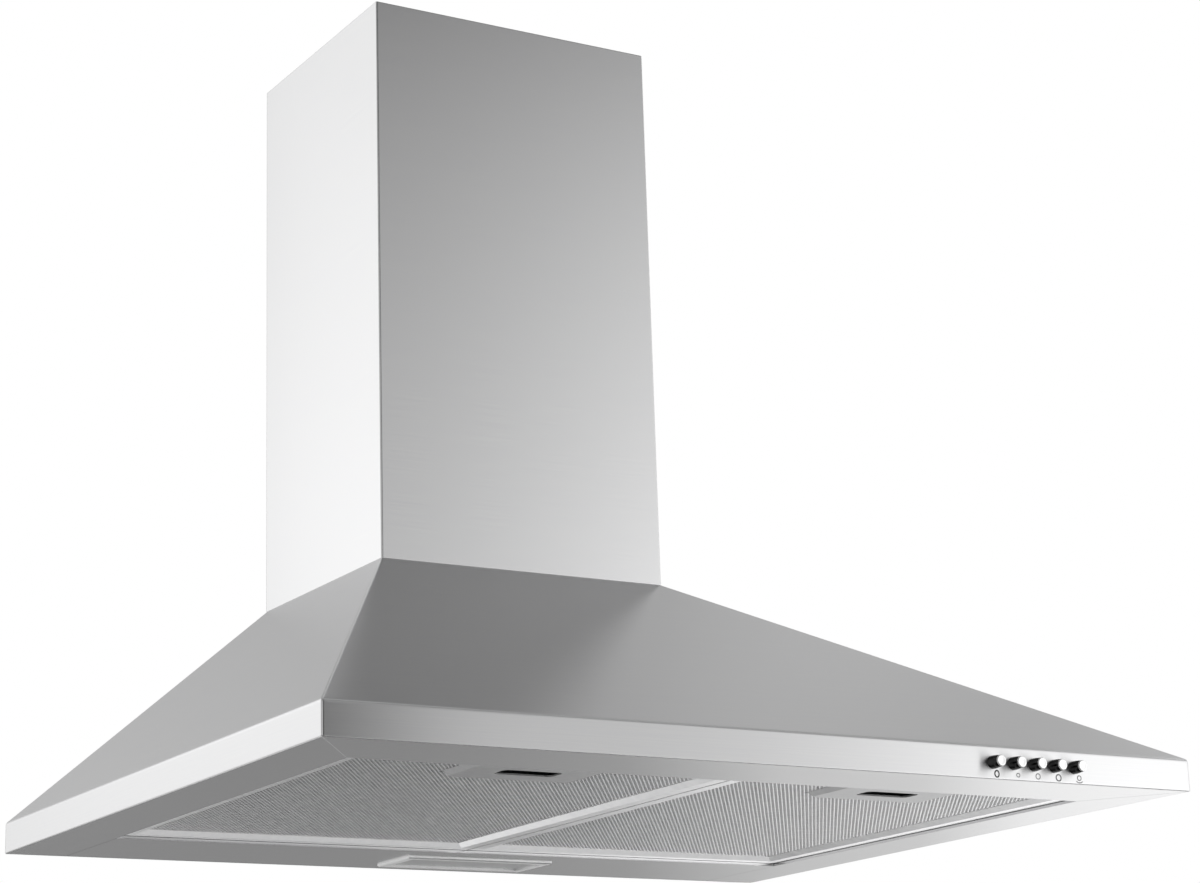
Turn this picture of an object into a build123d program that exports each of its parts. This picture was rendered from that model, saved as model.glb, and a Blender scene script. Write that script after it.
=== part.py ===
"""Pyramid wall range hood of the 60 cm class, as an assembly of separate pieces.

Millimetres. +X is right as seen from the front, -Y is towards the cook and +Z is up. The origin lies on the
wall plane, at the middle of the hood's width, at the level of the bottom rim.
"""
from build123d import *
from math import atan2, cos, sin, tan
import os

os.makedirs("parts", exist_ok=True)

# Casing
hood_width = 598.0
hood_depth = 500.0
band_height = 20.0
pyramid_height = 160.0
chimney_width = 218.0
chimney_depth = 188.0
chimney_height = 400.0
sheet = 1.0
seat_gap = 0.3
rear_flange = 12.0

# Rim strips and lamp panel under the canopy
front_rim = 59.0
side_rim = 43.0
rear_rim = 95.0
lip_height = 14.0
mitre_gap = 0.5

# Chimney covers
chimney_foot = 14.0
chimney_return = 22.0
telescope_gap = 0.5
upper_chimney_drop = 2.0
vent_count = 5
vent_length = 60.0
vent_height = 5.0
vent_pitch = 14.0
vent_from_top = 40.0

# Wall fixings
hook_hole_radius = 4.0
hook_spacing = 200.0
hook_height = 150.0
lock_hole_radius = 3.0
lock_from_side = 99.0
lock_height = 60.0

# Filters
filter_recess = 2.0
filter_height = 9.0
filter_clearance = 1.5
filter_gap = 1.5
filter_foil = 1.0
frame_flat = 8.0
frame_bevel = 5.0
bevel_rise = 2.6
bevel_edge = 0.4
frame_top_flange = 9.0
net_thickness = 1.2
net_strand = 2.6
net_columns = 8
net_rows = 10
pack_strand = 5.0
pack_columns = 4
pack_rows = 5
tab_width = 22.0
tab_length = 6.0
tab_thickness = 1.5
tab_rise = 3.0
tab_spacing = 130.0
tab_slot_clearance = 1.0

# Filter latches
latch_plate_width = 86.0
latch_plate_depth = 52.0
latch_plate_lean = 2.5
latch_corner = 4.0
latch_slot_width = 39.0
latch_slot_depth = 16.0
latch_slot_from_front = 18.0
latch_travel = 6.0
slider_wall = 1.6
slider_rim = 4.0
slider_height = 6.6
tongue_width = 22.0
tongue_thickness = 2.4
tongue_slot_clearance = 1.0
slider_gap = 0.3

# Lamp
lamp_x = 26.0
lamp_from_wall = 43.5
bezel_width = 114.0
bezel_depth = 50.0
bezel_border = 5.5
bezel_lap = 2.0
bezel_proud = 1.5
lens_thickness = 2.5
lens_lap = 1.8
housing_margin = 7.0
housing_height = 40.0
bulb_radius = 11.0
bulb_length = 76.0
bulb_base_radius = 6.5
bulb_base_length = 12.0
socket_radius = 11.0
socket_length = 24.0

# Push buttons
button_count = 5
button_pitch = 15.6
button_from_side = 124.6
button_height = 10.0
button_radius = 4.05
button_tip_radius = 3.45
button_proud = 9.0
button_travel = 4.0
button_stem = 12.0
cap_length = 1.2
button_gap = 0.3
switch_width = 84.0
switch_depth = 40.0
switch_height = 16.5
bracket_width = 14.0
bracket_foot = 10.0

# Blower
impeller_radius = 56.0
impeller_half_length = 32.0
blade_count = 26
blade_depth = 10.0
blade_thickness = 0.9
blade_sweep = 8.0
impeller_disc = 1.4
hub_radius = 9.0
hub_length = 14.0
shaft_radius = 4.0
running_gap = 0.05
tongue_gap = 6.0
volute_step = 10.0
volute_wall = 1.6
volute_side_gap = 4.0
volute_flange_thickness = 2.0
inlet_radius = 44.0
inlet_lip = 6.0
fan_height = 108.0
motor_radius = 33.0
motor_length = 38.0
motor_from_disc = 6.0
bell_chamfer = 6.0
stator_length = 14.0
stator_proud = 2.0
motor_bracket_arm = 10.0
motor_bracket_thickness = 2.0
motor_bracket_reach = 53.0
motor_bracket_leg = 4.0

# Duct collar and its flaps
collar_radius = 62.0
collar_wall = 1.2
collar_height = 48.0
collar_flange = 136.0
collar_flange_thickness = 2.0
collar_flange_corner = 6.0
flap_height = 22.0
flap_thickness = 1.2
flap_clearance = 1.0
flap_pin_radius = 1.5
flap_knuckle_radius = 2.8
flap_knuckle_length = 12.0
flap_ledge = 2.2

# Wiring and fasteners
terminal_width = 56.0
terminal_height = 44.0
terminal_depth = 30.0
terminal_lid = 4.0
terminal_x = -100.0
terminal_z = 84.0
box_wall = 2.0
grommet_radius = 5.5
grommet_bore = 3.6
grommet_lip = 1.5
grommet_behind_outlet = 64.0
screw_radius = 1.9
screw_hole_radius = 2.1
screw_head_radius = 3.6
screw_head_height = 2.2
screw_length = 8.0
collar_screw_spacing = 122.0
chimney_screw_from_wall = 40.0
chimney_screw_pitch = 100.0

# Places worked out from the sizes above
half_width = hood_width / 2
chimney_half = chimney_width / 2
deck_z = band_height + pyramid_height
chimney_top = deck_z + chimney_height
deck_under = deck_z - sheet
opening_half = half_width - side_rim
opening_front = hood_depth - front_rim
lock_spacing = hood_width - 2 * lock_from_side
button_middle_x = half_width - button_from_side
BACK_EDGE = (Align.CENTER, Align.MAX)
FRONT_EDGE = (Align.CENTER, Align.MIN)


def keep(builder, name):
    """Label a finished piece and write it as its own file."""
    builder.part.label = name
    export_step(builder.part, f"parts/{name}.step")


# Canopy: pyramid with its band, a deck on top and a flange for the back panel. It is made whole and then cut
# along its ridges into the front, the two sides and the deck, which are welded to each other
front_angle = atan2(pyramid_height, hood_depth - chimney_depth)
side_angle = atan2(pyramid_height, half_width - chimney_half)
inner_low = band_height + sheet * tan(front_angle) - sheet / cos(front_angle)
inner_top_half = chimney_half - sheet / sin(side_angle)
inner_top_depth = chimney_depth - sheet / sin(front_angle)
inner_half = half_width - sheet
back_outline = [
    (-inner_half, 0),
    (-inner_half, inner_low),
    (-inner_top_half, deck_z),
    (inner_top_half, deck_z),
    (inner_half, inner_low),
    (inner_half, 0),
]
outlet_width = 2 * (impeller_half_length + volute_side_gap)
outlet_y = -chimney_depth / 2
grommet_x = -(collar_flange / 2 + chimney_half - chimney_foot) / 2
grommet_y = outlet_y + grommet_behind_outlet
first_radius = impeller_radius + tongue_gap + volute_step / 2
second_radius = first_radius + volute_step
third_radius = second_radius + volute_step
outlet_depth = third_radius + volute_step
button_xs = [
    button_middle_x + (index - (button_count - 1) / 2) * button_pitch
    for index in range(button_count)
]
chimney_screw_ys = [-chimney_screw_from_wall, -chimney_screw_from_wall - chimney_screw_pitch]
chimney_screw_x = chimney_half - chimney_foot / 2
chimney_screw_spots = [(side * chimney_screw_x, y) for side in (-1, 1) for y in chimney_screw_ys]

with BuildPart() as canopy:
    with BuildSketch(Plane.XY.offset(band_height)):
        Rectangle(hood_width, hood_depth, align=BACK_EDGE)
    with BuildSketch(Plane.XY.offset(deck_z)):
        Rectangle(chimney_width, chimney_depth, align=BACK_EDGE)
    loft()
    with BuildSketch():
        Rectangle(hood_width, hood_depth, align=BACK_EDGE)
    extrude(amount=band_height)
    with BuildSketch():
        Rectangle(2 * inner_half, hood_depth - sheet, align=BACK_EDGE)
    extrude(amount=inner_low, mode=Mode.SUBTRACT)
    with BuildSketch(Plane.XY.offset(inner_low)):
        Rectangle(2 * inner_half, hood_depth - sheet, align=BACK_EDGE)
    with BuildSketch(Plane.XY.offset(deck_z)):
        Rectangle(2 * inner_top_half, inner_top_depth, align=BACK_EDGE)
    loft(mode=Mode.SUBTRACT)
    with BuildSketch(Plane.XZ.offset(sheet)):
        with BuildLine():
            Polyline(*back_outline, close=True)
        make_face()
        offset(amount=-rear_flange, kind=Kind.INTERSECTION, mode=Mode.SUBTRACT)
        Rectangle(2 * (inner_half - rear_flange), 2 * rear_flange, mode=Mode.SUBTRACT)
    extrude(amount=sheet)
    with BuildSketch(Plane.XY.offset(deck_under)):
        with Locations((0, -sheet)):
            Rectangle(chimney_width, chimney_depth - sheet, align=BACK_EDGE)
        with Locations((0, outlet_y)):
            Rectangle(outlet_width, outlet_depth, mode=Mode.SUBTRACT)
            with GridLocations(collar_screw_spacing, collar_screw_spacing, 2, 2):
                Circle(screw_hole_radius, mode=Mode.SUBTRACT)
        with Locations((grommet_x, grommet_y)):
            Circle(grommet_radius, mode=Mode.SUBTRACT)
        with Locations(*chimney_screw_spots):
            Circle(screw_hole_radius, mode=Mode.SUBTRACT)
    extrude(amount=sheet)
    with BuildSketch(Plane.XZ.offset(hood_depth)):
        with Locations(*[(x, button_height) for x in button_xs]):
            Circle(button_radius + button_gap)
    extrude(amount=-2 * sheet, mode=Mode.SUBTRACT)

for side_name, side in (("left", -1), ("right", 1)):
    side_outline = [
        (side * half_width, -hood_depth),
        (side * chimney_half, -chimney_depth),
        (side * chimney_half, 0),
        (side * half_width, 0),
    ]
    with BuildPart() as canopy_side:
        add(canopy.part)
        with BuildSketch():
            Polygon(*side_outline, align=None)
        extrude(amount=deck_z, mode=Mode.INTERSECT)
    keep(canopy_side, f"canopy_{side_name}")

with BuildPart() as canopy_front:
    add(canopy.part)
    with BuildSketch():
        Polygon(
            (-half_width, -hood_depth),
            (half_width, -hood_depth),
            (chimney_half, -chimney_depth),
            (-chimney_half, -chimney_depth),
            align=None,
        )
    extrude(amount=deck_z, mode=Mode.INTERSECT)
keep(canopy_front, "canopy_front")

with BuildPart() as canopy_deck:
    add(canopy.part)
    with BuildSketch():
        Rectangle(chimney_width, chimney_depth, align=BACK_EDGE)
    extrude(amount=deck_z, mode=Mode.INTERSECT)
keep(canopy_deck, "canopy_deck")

# Back panel: flat plate on the wall, with two hook holes above and two lock holes below
with BuildPart() as back_panel:
    with BuildSketch(Plane.XZ):
        with BuildLine():
            Polyline(*back_outline, close=True)
        make_face()
        offset(amount=-seat_gap, kind=Kind.INTERSECTION, mode=Mode.REPLACE)
        Rectangle(2 * (inner_half - seat_gap), seat_gap, align=FRONT_EDGE)
        with Locations((0, hook_height)):
            with GridLocations(hook_spacing, 0, 2, 1):
                Circle(hook_hole_radius, mode=Mode.SUBTRACT)
        with Locations((0, lock_height)):
            with GridLocations(lock_spacing, 0, 2, 1):
                Circle(lock_hole_radius, mode=Mode.SUBTRACT)
    extrude(amount=sheet)
keep(back_panel, "back_panel")

# Rim strips: flat strips inside the band, mitred at the front corners, with an upturned lip round the filters
filter_width = opening_half - filter_clearance - filter_gap / 2
filter_depth = opening_front - rear_rim - 2 * filter_clearance
filter_y = -(opening_front + rear_rim) / 2
filter_x = (filter_gap + filter_width) / 2
rim_outer_front = hood_depth - sheet
tongue_z = filter_recess + filter_foil + slider_gap + slider_height - tongue_thickness
keeper_width = tongue_width + 2 * tongue_slot_clearance
keeper_height = tongue_thickness + 2 * tongue_slot_clearance

with BuildPart() as rim_front:
    with BuildSketch():
        with BuildLine():
            Polyline(
                (-inner_half + mitre_gap, -rim_outer_front),
                (inner_half - mitre_gap, -rim_outer_front),
                (opening_half - mitre_gap, -opening_front),
                (-opening_half + mitre_gap, -opening_front),
                close=True,
            )
        make_face()
    extrude(amount=sheet)
    with BuildSketch(Plane.XZ.offset(opening_front)):
        Rectangle(2 * (opening_half - mitre_gap), lip_height, align=FRONT_EDGE)
        with Locations((0, tongue_z + tongue_thickness / 2)):
            with GridLocations(2 * filter_x, 0, 2, 1):
                Rectangle(keeper_width, keeper_height, mode=Mode.SUBTRACT)
    extrude(amount=sheet)
keep(rim_front, "rim_front")

for side_name, side in (("left", -1), ("right", 1)):
    with BuildPart() as rim_side:
        with BuildSketch():
            with BuildLine():
                Polyline(
                    (side * inner_half, -rim_outer_front + mitre_gap),
                    (side * opening_half, -opening_front + mitre_gap),
                    (side * opening_half, -2 * sheet),
                    (side * inner_half, -2 * sheet),
                    close=True,
                )
            make_face()
        extrude(amount=sheet)
        with BuildSketch():
            with Locations((side * (opening_half + sheet / 2), -2 * sheet)):
                Rectangle(sheet, opening_front - 2 * sheet - mitre_gap, align=BACK_EDGE)
        extrude(amount=lip_height)
    keep(rim_side, f"rim_{side_name}")

# Lamp panel: tray across the back of the opening, slotted for the filters' rear tabs
panel_half = opening_half - seat_gap
panel_depth = rear_rim - 2 * sheet
lamp_y = -lamp_from_wall
panel_hole_width = bezel_width - 2 * bezel_lap
panel_hole_depth = bezel_depth - 2 * bezel_lap
tab_xs = [side * filter_x + end * tab_spacing / 2 for side in (-1, 1) for end in (-1, 1)]
tab_z = filter_recess + tab_rise
tab_slot_width = tab_width + 2 * tab_slot_clearance
tab_slot_height = tab_length + tab_thickness + 2 * tab_slot_clearance

with BuildPart() as lamp_panel:
    with BuildSketch():
        with Locations((0, -2 * sheet)):
            Rectangle(2 * panel_half, panel_depth, align=BACK_EDGE)
    extrude(amount=lip_height)
    with BuildSketch(Plane.XY.offset(sheet)):
        with Locations((0, -3 * sheet)):
            Rectangle(2 * (panel_half - sheet), panel_depth - 2 * sheet, align=BACK_EDGE)
    extrude(amount=lip_height, mode=Mode.SUBTRACT)
    with BuildSketch():
        with Locations((lamp_x, lamp_y)):
            Rectangle(panel_hole_width, panel_hole_depth)
    extrude(amount=sheet, mode=Mode.SUBTRACT)
    with BuildSketch(Plane.XZ.offset(rear_rim)):
        with Locations(*[(x, tab_z - seat_gap) for x in tab_xs]):
            Rectangle(tab_slot_width, tab_slot_height, align=FRONT_EDGE)
    extrude(amount=-sheet, mode=Mode.SUBTRACT)
keep(lamp_panel, "lamp_panel")

# Lower chimney: three-sided cover that stands on the deck, with a foot flange and two returns at the wall
chimney_inner_width = chimney_width - 2 * sheet
chimney_inner_depth = chimney_depth - 2 * sheet

with BuildPart() as lower_chimney:
    with BuildSketch(Plane.XY.offset(deck_z)):
        Rectangle(chimney_width, chimney_depth, align=BACK_EDGE)
        with Locations((0, -sheet)):
            Rectangle(chimney_inner_width, chimney_inner_depth, align=BACK_EDGE, mode=Mode.SUBTRACT)
        Rectangle(2 * (chimney_half - chimney_return), 2 * sheet, mode=Mode.SUBTRACT)
    extrude(amount=chimney_height)
    with BuildSketch(Plane.XY.offset(deck_z)):
        with Locations((0, -sheet)):
            Rectangle(chimney_inner_width, chimney_inner_depth, align=BACK_EDGE)
            Rectangle(
                chimney_width - 2 * chimney_foot,
                chimney_depth - sheet - chimney_foot,
                align=BACK_EDGE,
                mode=Mode.SUBTRACT,
            )
        with Locations(*chimney_screw_spots):
            Circle(screw_hole_radius, mode=Mode.SUBTRACT)
    extrude(amount=sheet)
keep(lower_chimney, "lower_chimney")

# Upper chimney: the same section one size smaller, with vent slots near its top on both sides
upper_inset = sheet + telescope_gap
upper_half = chimney_half - upper_inset
upper_low = deck_z + sheet + seat_gap
upper_height = chimney_top - upper_chimney_drop - upper_low
vent_top = upper_low + upper_height - vent_from_top

with BuildPart() as upper_chimney:
    with BuildSketch(Plane.XY.offset(upper_low)):
        with Locations((0, -upper_inset)):
            Rectangle(2 * upper_half, chimney_depth - 2 * upper_inset, align=BACK_EDGE)
        with Locations((0, -upper_inset - sheet)):
            Rectangle(
                2 * (upper_half - sheet),
                chimney_depth - 2 * upper_inset - 2 * sheet,
                align=BACK_EDGE,
                mode=Mode.SUBTRACT,
            )
        with Locations((0, -upper_inset)):
            Rectangle(2 * (upper_half - chimney_return), 2 * sheet, mode=Mode.SUBTRACT)
    extrude(amount=upper_height)
    with BuildSketch(Plane.YZ):
        with Locations(*[(outlet_y, vent_top - index * vent_pitch) for index in range(vent_count)]):
            Rectangle(vent_length, vent_height)
    extrude(amount=chimney_half, both=True, mode=Mode.SUBTRACT)
keep(upper_chimney, "upper_chimney")

# Filters: roll-formed channel frame, face net, inner pack, latch plate and latch slider
filter_low = filter_recess
filter_front = filter_y - filter_depth / 2
filter_back = filter_y + filter_depth / 2
frame_border = frame_flat + frame_bevel
window_width = filter_width - 2 * frame_border
window_depth = filter_depth - 2 * frame_border
pack_width = filter_width - 2 * (filter_foil + seat_gap)
pack_depth = filter_depth - 2 * (filter_foil + seat_gap)
net_rise = bevel_rise + bevel_edge
net_low = filter_low + net_rise
pack_low = net_low + net_thickness
pack_height = filter_height - filter_foil - net_rise - net_thickness
slot_y = filter_front + latch_slot_from_front + latch_slot_depth / 2
plate_y = filter_front + filter_foil + seat_gap + latch_plate_depth / 2
slider_width = latch_slot_width + 2 * slider_rim
slider_depth = latch_slot_depth + latch_travel + 2 * slider_rim
slider_low = filter_low + filter_foil + slider_gap
slider_y = slot_y + latch_travel / 2
slider_inner_width = slider_width - 2 * slider_wall
slider_inner_depth = slider_depth - 2 * slider_wall
tongue_length = slider_y - slider_depth / 2 - filter_front + slider_wall / 2
plate_wall = filter_foil / cos(atan2(latch_plate_lean, net_rise))
lean_at_floor = latch_plate_lean * (1 - filter_foil / net_rise)
latch_bay_width = latch_plate_width + 2 * seat_gap
latch_bay_back = plate_y + latch_plate_depth / 2 + seat_gap


def expanded_metal(middle_x, columns, rows, strand):
    """Sketch a sheet with two interleaved grids of diamond gaps and a bay cut out for the latch."""
    pitch_x = window_width / columns
    pitch_y = window_depth / rows
    gap_x = (pitch_x - strand) / 2
    gap_y = (pitch_y - strand) / 2
    with Locations((middle_x, filter_y)):
        Rectangle(pack_width, pack_depth)
        for fewer in (0, 1):
            with GridLocations(pitch_x, pitch_y, columns - fewer, rows - fewer):
                Polygon((gap_x, 0), (0, gap_y), (-gap_x, 0), (0, -gap_y), mode=Mode.SUBTRACT)
    with Locations((middle_x, latch_bay_back)):
        Rectangle(latch_bay_width, 2 * latch_plate_depth, align=BACK_EDGE, mode=Mode.SUBTRACT)


def plate_outline(middle_x, lean, wall):
    """Sketch the latch plate's outline, drawn in at the sides and rear by the lean and all round by the wall."""
    with Locations((middle_x, plate_y - lean / 2)):
        RectangleRounded(
            latch_plate_width - 2 * lean - 2 * wall,
            latch_plate_depth - lean - 2 * wall,
            latch_corner - wall,
        )


for side_name, side in (("left", -1), ("right", 1)):
    middle_x = side * filter_x
    left_x = middle_x - filter_width / 2
    right_x = middle_x + filter_width / 2
    with BuildPart() as filter_frame:
        with BuildLine(Plane.XY.offset(filter_low)) as frame_path:
            Polyline(
                (left_x, filter_y),
                (left_x, filter_front),
                (right_x, filter_front),
                (right_x, filter_back),
                (left_x, filter_back),
                (left_x, filter_y),
            )
        with BuildSketch(Plane(origin=(left_x, filter_y, filter_low), x_dir=(1, 0, 0), z_dir=(0, -1, 0))):
            with BuildLine():
                Polyline(
                    (0, 0),
                    (frame_flat, 0),
                    (frame_border, bevel_rise),
                    (frame_border, net_rise),
                    (frame_flat, filter_foil),
                    (filter_foil, filter_foil),
                    (filter_foil, filter_height - filter_foil),
                    (frame_top_flange, filter_height - filter_foil),
                    (frame_top_flange, filter_height),
                    (0, filter_height),
                    close=True,
                )
            make_face()
        sweep(path=frame_path.wire(), transition=Transition.RIGHT)
        with BuildSketch(Plane.XY.offset(filter_low)):
            with Locations((middle_x, latch_bay_back)):
                Rectangle(latch_bay_width, latch_bay_back - filter_front - filter_foil, align=BACK_EDGE)
        extrude(amount=net_rise, mode=Mode.SUBTRACT)
        with BuildSketch(Plane.XZ.offset(-filter_front)):
            with Locations((middle_x, tongue_z + tongue_thickness / 2)):
                Rectangle(tongue_width + 2 * slider_gap, tongue_thickness + 2 * slider_gap)
        extrude(amount=-filter_foil, mode=Mode.SUBTRACT)
        with BuildSketch(Plane.XY.offset(tab_z)):
            with Locations((middle_x, filter_back)):
                with GridLocations(tab_spacing, 0, 2, 1):
                    Rectangle(tab_width, tab_length, align=FRONT_EDGE)
        extrude(amount=tab_thickness)
    keep(filter_frame, f"filter_frame_{side_name}")

    with BuildPart() as filter_net:
        with BuildSketch(Plane.XY.offset(net_low)):
            expanded_metal(middle_x, net_columns, net_rows, net_strand)
        extrude(amount=net_thickness)
    keep(filter_net, f"filter_net_{side_name}")

    with BuildPart() as filter_pack:
        with BuildSketch(Plane.XY.offset(pack_low)):
            expanded_metal(middle_x, pack_columns, pack_rows, pack_strand)
        extrude(amount=pack_height)
    keep(filter_pack, f"filter_pack_{side_name}")

    with BuildPart() as latch_plate:
        with BuildSketch(Plane.XY.offset(filter_low)):
            plate_outline(middle_x, latch_plate_lean, 0)
        with BuildSketch(Plane.XY.offset(net_low)):
            plate_outline(middle_x, 0, 0)
        loft()
        with BuildSketch(Plane.XY.offset(filter_low + filter_foil)):
            plate_outline(middle_x, lean_at_floor, plate_wall)
        with BuildSketch(Plane.XY.offset(net_low)):
            plate_outline(middle_x, 0, plate_wall)
        loft(mode=Mode.SUBTRACT)
        with BuildSketch(Plane.XY.offset(filter_low)):
            with Locations((middle_x, slot_y)):
                RectangleRounded(latch_slot_width, latch_slot_depth, latch_corner)
        extrude(amount=filter_foil, mode=Mode.SUBTRACT)
    keep(latch_plate, f"latch_plate_{side_name}")

    with BuildPart() as latch_slider:
        with BuildSketch(Plane.XY.offset(slider_low)):
            with Locations((middle_x, slider_y)):
                RectangleRounded(slider_width, slider_depth, latch_corner)
        extrude(amount=slider_height)
        with BuildSketch(Plane.XY.offset(slider_low)):
            with Locations((middle_x, slider_y)):
                RectangleRounded(slider_inner_width, slider_inner_depth, latch_corner - slider_wall)
        extrude(amount=slider_height - slider_wall, mode=Mode.SUBTRACT)
        with BuildSketch(Plane.XY.offset(tongue_z)):
            with Locations((middle_x, filter_front)):
                Rectangle(tongue_width, tongue_length, align=FRONT_EDGE)
        extrude(amount=tongue_thickness)
    keep(latch_slider, f"latch_slider_{side_name}")

# Lamp: bezel let into the panel from below, lens lying in it, and a housing above with socket and bulb
lens_window_width = bezel_width - 2 * bezel_border
lens_window_depth = bezel_depth - 2 * bezel_border
lens_width = lens_window_width + 2 * lens_lap
lens_depth = lens_window_depth + 2 * lens_lap
housing_width = panel_hole_width + 2 * housing_margin
housing_depth = panel_hole_depth + 2 * housing_margin
housing_corner = housing_margin - sheet
bulb_z = sheet + housing_height / 2
socket_x = lamp_x - housing_width / 2 + sheet
bulb_x = socket_x + socket_length - bulb_base_length
bulb_neck_x = bulb_base_length + bulb_radius
bulb_tip_x = bulb_base_length + bulb_length
bulb_plane = Plane(origin=(bulb_x, lamp_y, bulb_z), x_dir=(1, 0, 0), z_dir=(0, 0, 1))

with BuildPart() as lamp_bezel:
    with BuildSketch():
        with Locations((lamp_x, lamp_y)):
            Rectangle(bezel_width, bezel_depth)
    extrude(amount=-bezel_proud)
    chamfer(lamp_bezel.faces().sort_by(Axis.Z)[0].edges(), length=bezel_proud / 2)
    with BuildSketch():
        with Locations((lamp_x, lamp_y)):
            Rectangle(panel_hole_width - 2 * seat_gap, panel_hole_depth - 2 * seat_gap)
            Rectangle(lens_width + 2 * seat_gap, lens_depth + 2 * seat_gap, mode=Mode.SUBTRACT)
    extrude(amount=lens_thickness + sheet)
    with BuildSketch():
        with Locations((lamp_x, lamp_y)):
            Rectangle(lens_window_width, lens_window_depth)
    extrude(amount=-bezel_proud, mode=Mode.SUBTRACT)
keep(lamp_bezel, "lamp_bezel")

with BuildPart() as lamp_lens:
    with BuildSketch():
        with Locations((lamp_x, lamp_y)):
            Rectangle(lens_width, lens_depth)
    extrude(amount=lens_thickness)
keep(lamp_lens, "lamp_lens")

with BuildPart() as lamp_housing:
    with BuildSketch(Plane.XY.offset(sheet)):
        with Locations((lamp_x, lamp_y)):
            RectangleRounded(housing_width, housing_depth, housing_margin)
    extrude(amount=housing_height)
    with BuildSketch(Plane.XY.offset(sheet)):
        with Locations((lamp_x, lamp_y)):
            RectangleRounded(housing_width - 2 * sheet, housing_depth - 2 * sheet, housing_corner)
    extrude(amount=housing_height - sheet, mode=Mode.SUBTRACT)
keep(lamp_housing, "lamp_housing")

with BuildPart() as lamp_socket:
    with BuildSketch(Plane.YZ.offset(socket_x)):
        with Locations((lamp_y, bulb_z)):
            Circle(socket_radius)
    extrude(amount=socket_length)
    with BuildSketch(Plane.YZ.offset(bulb_x)):
        with Locations((lamp_y, bulb_z)):
            Circle(bulb_base_radius + running_gap)
    extrude(amount=socket_length, mode=Mode.SUBTRACT)
keep(lamp_socket, "lamp_socket")

with BuildPart() as lamp_bulb:
    with BuildSketch(bulb_plane):
        with BuildLine():
            Polyline(
                (bulb_tip_x, 0),
                (0, 0),
                (0, bulb_base_radius),
                (bulb_base_length, bulb_base_radius),
                (bulb_neck_x, bulb_radius),
                (bulb_tip_x - bulb_radius, bulb_radius),
            )
            CenterArc((bulb_tip_x - bulb_radius, 0), bulb_radius, 90, -90)
        make_face()
    revolve(axis=Axis((bulb_x, lamp_y, bulb_z), (1, 0, 0)))
keep(lamp_bulb, "lamp_bulb")

# Switch: a block on the front rim strip behind the band, held by a hat-shaped bracket, with five push buttons
switch_front = -hood_depth + sheet + seat_gap
switch_y = switch_front + switch_depth / 2
button_tip = -hood_depth - button_proud
button_bore = button_stem + button_travel + button_gap - sheet - seat_gap
hat_inner_width = switch_width + 2 * seat_gap
hat_width = hat_inner_width + 2 * sheet
hat_height = switch_height + seat_gap + sheet
hat_front = switch_front + switch_depth - bracket_width

with BuildPart() as switch_block:
    with BuildSketch(Plane.XY.offset(sheet)):
        with Locations((button_middle_x, switch_y)):
            Rectangle(switch_width, switch_depth)
    extrude(amount=switch_height)
    with BuildSketch(Plane.XZ.offset(-switch_front)):
        with Locations(*[(x, button_height) for x in button_xs]):
            Circle(button_radius + button_gap)
    extrude(amount=-button_bore, mode=Mode.SUBTRACT)
keep(switch_block, "switch_block")

with BuildPart() as switch_bracket:
    with BuildSketch(Plane.XZ.offset(-hat_front)):
        with Locations((button_middle_x, sheet)):
            Rectangle(hat_width, hat_height, align=FRONT_EDGE)
            Rectangle(hat_width + 2 * bracket_foot, sheet, align=FRONT_EDGE)
            Rectangle(hat_inner_width, hat_height - sheet, align=FRONT_EDGE, mode=Mode.SUBTRACT)
    extrude(amount=-bracket_width)
keep(switch_bracket, "switch_bracket")

for index, button_x in enumerate(button_xs, start=1):
    button_axis = Axis((button_x, button_tip, button_height), (0, 1, 0))
    button_plane = Plane(origin=(button_x, button_tip, button_height), x_dir=(1, 0, 0), z_dir=(0, 0, 1))
    with BuildPart() as button:
        with BuildSketch(button_plane):
            with BuildLine():
                Polyline(
                    (0, cap_length),
                    (button_tip_radius, cap_length),
                    (button_radius, button_proud - button_travel),
                    (button_radius, button_proud + button_stem),
                    (0, button_proud + button_stem),
                    close=True,
                )
            make_face()
        revolve(axis=button_axis)
    keep(button, f"button_{index}")

    with BuildPart() as button_cap:
        with BuildSketch(button_plane):
            Rectangle(button_tip_radius, cap_length, align=Align.MIN)
        revolve(axis=button_axis)
    keep(button_cap, f"button_cap_{index}")

# Blower: moulded volute halves on three quarter arcs of growing radius, meeting in the middle plane
throat_back = outlet_y + outlet_depth / 2
throat_front = outlet_y - outlet_depth / 2
fan_y = throat_back - third_radius - volute_step / 2
fan_z = fan_height
near_y = fan_y - volute_step / 2
far_y = fan_y + volute_step / 2
low_z = fan_z - volute_step / 2
high_z = fan_z + volute_step / 2
volute_half = outlet_width / 2
volute_outer = volute_half + volute_wall
fan_axis = Axis((0, fan_y, fan_z), (1, 0, 0))
fan_plane = Plane(origin=(0, fan_y, fan_z), x_dir=(1, 0, 0), z_dir=(0, 0, 1))

with BuildSketch(Plane.YZ) as scroll:
    with BuildLine():
        first_arc = CenterArc((near_y, low_z), first_radius, 90, 90)
        CenterArc((far_y, low_z), second_radius, 180, 90)
        third_arc = CenterArc((far_y, high_z), third_radius, 270, 90)
        Polyline(third_arc @ 1, (throat_back, deck_z), (throat_front, deck_z), first_arc @ 0)
    make_face()

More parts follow.
